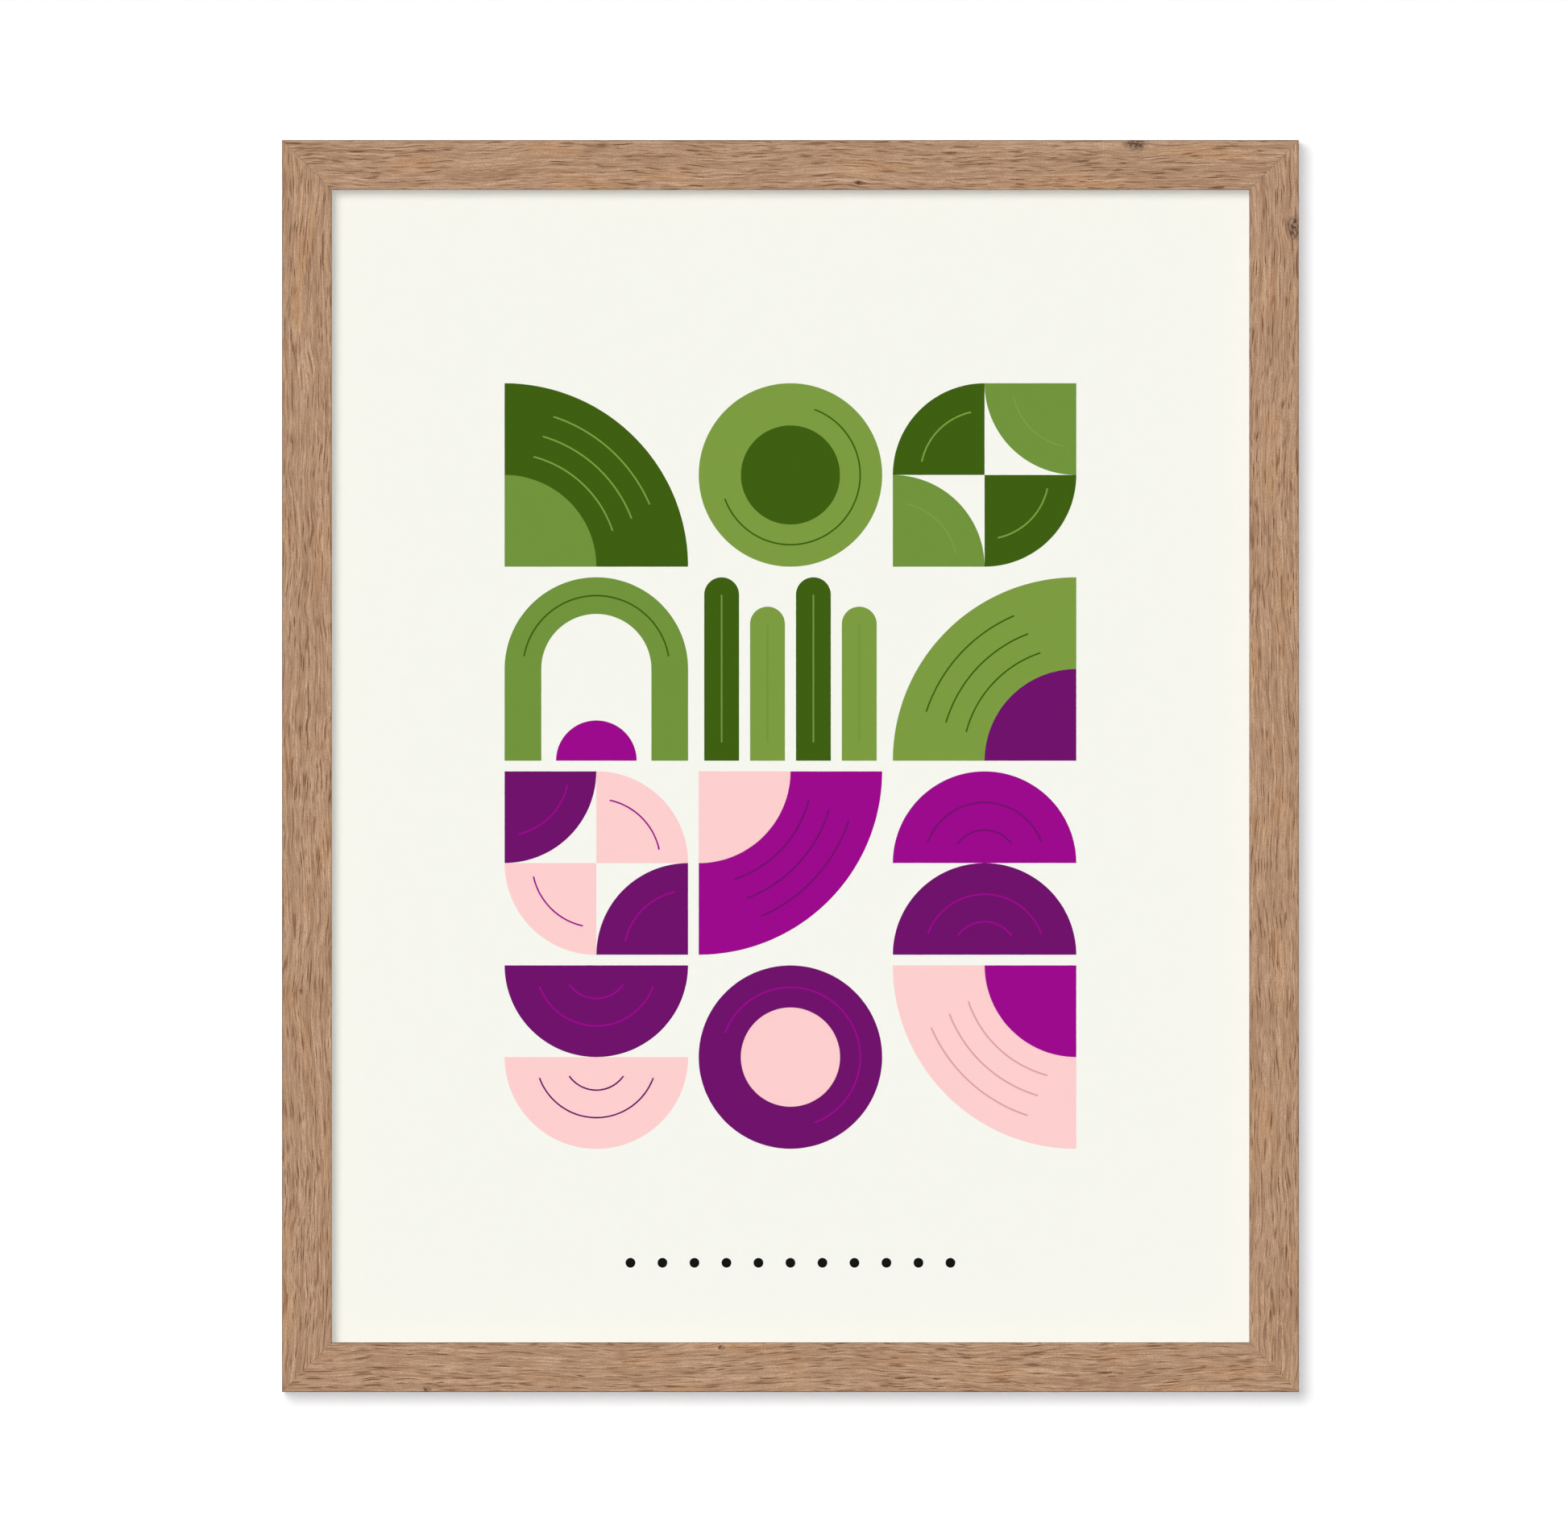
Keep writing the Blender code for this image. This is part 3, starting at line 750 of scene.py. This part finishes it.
def make_hanger():
    """The sawtooth hanger and its two pins."""
    brass = plated("brass plate", (214, 178, 106), 0.3)
    shape = bmesh.new()
    shape.from_mesh(frame["nodes"]["sawtooth_hanger"].data)
    ease(shape, HANGER_EDGE)
    plate = smooth(finished("hanger", shape, brass), flat_area=PLATE_FLAT)
    piece("brass_hanger", plate, "frame", "sawtooth_hanger")
    pin = smooth(domed_pin(
        "pin", "hanger_pin_left", brass, PIN_HEAD_RADIUS, PIN_HEAD_HEIGHT, PIN_SHANK_RADIUS, PIN_POINT
    ))
    for side in ("left", "right"):
        middle = centre_of(f"hanger_pin_{side}")
        place = Matrix.Translation((middle.x, 0, middle.z))
        piece(f"brass_pin_{side}", pin, "frame", f"hanger_pin_{side}", place)


def make_bumpers():
    """The two soft discs at the frame's foot."""
    low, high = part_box("wall_bumper_left")
    radius = (high.z - low.z) / 2
    turns = [QUARTER_TURN * i / BUMPER_EDGE_STEPS for i in range(BUMPER_EDGE_STEPS + 1)]
    rim = [
        (radius - BUMPER_EDGE * (1 - math.sin(turn)), high.y - BUMPER_EDGE * (1 - math.cos(turn)))
        for turn in turns
    ]
    shape = revolved([(0, high.y), *rim, (radius, low.y), (0, low.y)])
    bumper = smooth(finished("bumper", shape, felt("felt")))
    for side in ("left", "right"):
        middle = centre_of(f"wall_bumper_{side}")
        place = Matrix.Translation((middle.x, 0, middle.z))
        piece(f"felt_bumper_{side}", bumper, "frame", f"wall_bumper_{side}", place)


def dress_nodes():
    """Materials for the nodes that are seen as they are."""
    nails = plated("nail steel", (128, 130, 134), 0.4)
    finishes = {"glazing": clear_pane("clear acrylic"), "backing_board": fibreboard("fibreboard")}
    for name, node in frame["nodes"].items():
        if name in finishes or name.startswith("v_nail"):
            node.data.materials.clear()
            node.data.materials.append(finishes.get(name, nails))
    # Light falls on the print as if nothing clear lay over it
    glazing = frame["nodes"]["glazing"]
    glazing.visible_shadow = False
    glazing.visible_diffuse = False


# The print's artwork: shapes as (ink, points), each over those before it


def disc(ink, centre, radius):
    return ink, curve(centre, radius, 0, 360)[:-1]


def slice_of(ink, centre, radius, start, end):
    """A part of a disc."""
    return ink, [centre, *curve(centre, radius, start, end)]


def band(ink, centre, inner, outer, start, end):
    """A part of a ring."""
    return ink, curve(centre, outer, start, end) + curve(centre, inner, end, start)


def thin_arc(ink, centre, radius, start, end):
    return band(ink, centre, radius - LINE / 2, radius + LINE / 2, start, end)


def block(ink, left, bottom, right, top):
    return ink, [(left, bottom), (right, bottom), (right, top), (left, top)]


def quarter_fan(first, second, line):
    """A quarter disc from the tile's corner, with a smaller one on it and thin arcs between."""
    yield slice_of(first, (0, 0), TILE, 0, 90)
    yield slice_of(second, (0, 0), TILE * 0.5, 0, 90)
    for share in (0.62, 0.74, 0.86):
        yield thin_arc(line, (0, 0), TILE * share, 6 + 20 * share, 84 - 14 * share)


def two_halves(first, second, line):
    """Two half discs, one above the other, both rounded upwards."""
    half = TILE / 2
    for ink, base, thin in ((first, half, second), (second, 0, line)):
        yield slice_of(ink, (half, base), half, 0, 180)
        yield thin_arc(thin, (half, base), half * 0.66, 20, 160)
        yield thin_arc(thin, (half, base), half * 0.36, 35, 145)


def target(first, second, line):
    """A disc with a smaller disc on it and a thin ring between."""
    middle = (TILE / 2, TILE / 2)
    yield disc(first, middle, TILE / 2)
    yield disc(second, middle, TILE * 0.27)
    yield thin_arc(line, middle, TILE * 0.38, 200, 430)


def arches(first, second, line):
    """An arch over a half disc, on the tile's lower edge."""
    half = TILE / 2
    yield block(first, 0, 0, TILE, half)
    yield slice_of(first, (half, half), half, 0, 180)
    yield block("paper", TILE * 0.2, 0, TILE * 0.8, half)
    yield slice_of("paper", (half, half), TILE * 0.3, 0, 180)
    yield slice_of(second, (half, 0), TILE * 0.22, 0, 180)
    yield thin_arc(line, (half, half), TILE * 0.4, 10, 170)


def pinwheel(first, second, line):
    """Four quarter discs that turn round the tile's middle."""
    half = TILE / 2
    for ink, corner, start in (
        (first, (0, 0), 0),
        (second, (half, half), 270),
        (first, (TILE, TILE), 180),
        (second, (half, half), 90),
    ):
        yield slice_of(ink, corner, half, start, start + 90)
        yield thin_arc(line, corner, half * 0.7, start + 12, start + 78)


def bars(first, second, line):
    """Upright bars with round tops, in turn of one ink and the other."""
    count = 4
    step = TILE / count
    radius = step * 0.38
    for i in range(count):
        ink = (first, second)[i % 2]
        x = step * (i + 0.5)
        top = TILE - radius - (0, TILE * 0.16)[i % 2]
        yield ink, [(x - radius, 0), (x + radius, 0), *curve((x, top), radius, 0, 180)]
        yield block(line, x - LINE / 2, TILE * 0.1, x + LINE / 2, top)


# Rows from the top, each tile (motif, quarter turns, first ink, second ink, line ink)
DESIGN = [
    [
        (quarter_fan, 0, "dark green", "mid green", "light green"),
        (target, 0, "light green", "dark green", "dark green"),
        (pinwheel, 0, "mid green", "dark green", "light green"),
    ],
    [
        (arches, 0, "mid green", "magenta", "dark green"),
        (bars, 0, "dark green", "light green", "mid green"),
        (quarter_fan, 1, "light green", "purple", "dark green"),
    ],
    [
        (pinwheel, 1, "purple", "pink", "magenta"),
        (quarter_fan, 3, "magenta", "pink", "purple"),
        (two_halves, 0, "magenta", "purple", "magenta"),
    ],
    [
        (two_halves, 2, "pink", "purple", "magenta"),
        (target, 1, "purple", "pink", "magenta"),
        (quarter_fan, 2, "pink", "magenta", "dusty pink"),
    ],
]


def artwork():
    """Every printed shape, placed about the print's centre."""
    rows, columns = len(DESIGN), len(DESIGN[0])
    pitch = TILE + TILE_GUTTER
    for row, tiles in enumerate(DESIGN):
        for column, (motif, quarter_turns, *inks) in enumerate(tiles):
            middle_x = (column - (columns - 1) / 2) * pitch
            middle_y = ((rows - 1) / 2 - row) * pitch
            turn = Matrix.Rotation(quarter_turns * QUARTER_TURN, 2)
            for ink, points in motif(*inks):
                spots = [turn @ Vector((x - TILE / 2, y - TILE / 2)) for x, y in points]
                yield ink, [(middle_x + spot.x, middle_y + spot.y) for spot in spots]
    for i in range(ROW_DOTS):
        x = ROW_DOTS_WIDTH * (i / (ROW_DOTS - 1) - 0.5)
        yield disc("black", (x, -ROW_DOTS_DROP), DOT_RADIUS)


def anticlockwise(points):
    area = sum(a[0] * b[1] - b[0] * a[1] for a, b in zip(points, points[1:] + points[:1]))
    return points if area > 0 else points[::-1]


def make_print():
    """The print: one sheet whose front is divided along the edges of the printed shapes."""
    low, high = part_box("art_print")
    half_width, half_height = (high.x - low.x) / 2 / MM, (high.z - low.z) / 2 / MM
    middle = (low + high) / 2
    shapes = [block("paper", -half_width, -half_height, half_width, half_height), *artwork()]
    spots, loops = [], []
    for _, points in shapes:
        points = anticlockwise(points)
        loops.append(list(range(len(spots), len(spots) + len(points))))
        spots += [Vector(point) for point in points]
    made = delaunay_2d_cdt(spots, [], loops, 1, SAME_SPOT)
    corners, triangles, owners = made[0], made[2], made[5]

    inks = list(INKS)
    shape = bmesh.new()
    front = [shape.verts.new((spot.x * MM, low.y, spot.y * MM + middle.z)) for spot in corners]
    for triangle, owner in zip(triangles, owners):
        if owner:
            face = shape.faces.new([front[i] for i in triangle])
            face.material_index = inks.index(shapes[max(owner)][0])
    rim = [edge for edge in shape.edges if edge.is_boundary]
    sides = bmesh.ops.extrude_edge_only(shape, edges=rim)["geom"]
    for item in sides:
        if isinstance(item, bmesh.types.BMVert):
            item.co.y = high.y
    bmesh.ops.contextual_create(shape, geom=[edge for edge in shape.edges if edge.is_boundary])
    for face in shape.faces:
        if any(abs(vertex.co.y - low.y) > SAME_PLANE for vertex in face.verts):
            face.material_index = inks.index("paper")
    materials = [printed(f"ink {name}", colour) for name, colour in INKS.items()]
    piece("printed_sheet", finished("printed_sheet", shape, *materials), "frame", "art_print")


# Lights, camera and stage


def turned_towards(direction):
    """The rotation of a lamp that shines in this direction."""
    return Vector(direction).to_track_quat("-Z", "Y").to_euler()


def sun(name, towards, strength, spread, glossy):
    """A distant soft light that shines the way it's turned."""
    data = bpy.data.lights.new(name, "SUN")
    data.energy = strength
    data.angle = math.radians(spread)
    made = linked(name, data)
    made.rotation_euler = turned_towards(towards)
    made.visible_glossy = glossy


def soft_disc(name, place):
    """A wide round lamp, aimed at the middle of the frame."""
    data = bpy.data.lights.new(name, "AREA")
    data.shape = "DISK"
    data.size = LAMP_WIDTH
    data.energy = LAMP_POWER
    made = linked(name, data)
    made.location = place
    made.rotation_euler = turned_towards(LAMP_AIM - made.location)
    made.visible_camera = False


def make_lights():
    """A soft key from the upper left, a fill straight from the front, and two lamps for the back."""
    slant = math.tan(math.radians(KEY_SLANT))
    sun("key", (slant, 1, -slant), KEY_STRENGTH, KEY_SPREAD, True)
    sun("fill", (0, 1, 0), FILL_STRENGTH, FILL_SPREAD, False)
    soft_disc("back left", (-2.4, 1.6, 1.4))
    soft_disc("back right", (2.4, 1.6, 0.5))


def make_world():
    """A pale surround, dim in front of the picture and dark straight ahead of it, where its glazing looks."""
    world = bpy.data.worlds.new("studio")
    bpy.context.scene.world = world
    world.cycles.sampling_method = "NONE"
    s = Shader(world, "OutputWorld")
    towards = s.split(s.add("TexCoord").outputs["Generated"])
    brighter_behind = s.ramp(towards["Y"], -0.05, 0.35, 0.07, 0.5)
    dark_ahead = s.ramp(towards["Y"], -0.985, -0.94, 0, 1)
    brighter_above = s.ramp(towards["Z"], -1, 1, 0.8, 1.2)
    level = s.times(s.times(brighter_behind, dark_ahead), brighter_above)
    lit = s.add("Background", {"Color": WHITE, "Strength": level}).outputs[0]
    seen = s.add("Background", {"Color": (0.9, 0.9, 0.9, 1.0)}).outputs[0]
    s.finish(s.mix_shaders(s.add("LightPath").outputs["Is Camera Ray"], lit, seen))


def stage_sheet(name, corners, material, lights_others):
    """A flat sheet of the stage, which no gloss mirrors."""
    mesh = bpy.data.meshes.new(name)
    mesh.from_pydata(corners, [], [(0, 1, 2, 3)])
    mesh.materials.append(material)
    made = linked(name, mesh)
    made.visible_diffuse = lights_others
    made.visible_glossy = False


def make_stage():
    """A plain pale floor and a plain wall that is seen only from its front.

    Light from behind passes the wall to the faces that the camera sees, and to nothing that only lights the
    wall.
    """
    s = new_material("wall paint")
    rays = s.add("LightPath").outputs
    bounces = s.math("ADD", rays["Diffuse Depth"], rays["Is Shadow Ray"])
    passes = s.math("SUBTRACT", s.math("LESS_THAN", bounces, 1.5), rays["Is Camera Ray"], clamp=True)
    passes = s.math("MAXIMUM", passes, s.add("NewGeometry").outputs["Backfacing"])
    diffuse = s.add("BsdfDiffuse", {"Color": WALL_COLOUR}).outputs[0]
    paint = s.finish(s.mix_shaders(passes, diffuse, s.add("BsdfTransparent").outputs[0]))
    low, high, half = STAGE_BOTTOM, WALL_TOP, WALL_REACH
    corners = [(-half, 0, low), (half, 0, low), (half, 0, high), (-half, 0, high)]
    stage_sheet("wall", corners, paint, True)

    s = new_material("floor cover")
    diffuse = s.add("BsdfDiffuse", {"Color": FLOOR_COLOUR}).outputs[0]
    glow = s.add("Emission", {"Color": FLOOR_GLOW}).outputs[0]
    cover = s.finish(s.mix_shaders(FLOOR_GLOW_SHARE, diffuse, glow))
    far = FLOOR_REACH
    corners = [(-far, -far, low), (far, -far, low), (far, far, low), (-far, far, low)]
    stage_sheet("floor", corners, cover, False)


def make_camera():
    """Straight in front, far enough off that the frame shows no perspective, as in the photograph."""
    low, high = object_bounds()
    px = (high.x - low.x) / FRAME_WIDTH_PX
    distance = PHOTO_WIDTH_PX * px * LENS_MM / SENSOR_MM
    left_of_frame = (FRAME_CENTRE_X_PX - PHOTO_WIDTH_PX / 2) * px
    above_frame = (FRAME_CENTRE_Y_PX - PHOTO_HEIGHT_PX / 2) * px
    middle = (low + high) / 2
    data = bpy.data.cameras.new("camera")
    data.lens = LENS_MM
    data.sensor_width = SENSOR_MM
    camera = linked("camera", data)
    camera.location = (middle.x - left_of_frame, low.y - distance, middle.z + above_frame)
    camera.rotation_euler = (QUARTER_TURN, 0, 0)
    bpy.context.scene.camera = camera


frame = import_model()

make_camera()
make_rails()
make_print()
make_buttons()
make_hanger()
make_bumpers()
dress_nodes()
make_lights()
make_world()
make_stage()
bpy.context.scene.view_settings.view_transform = "Standard"
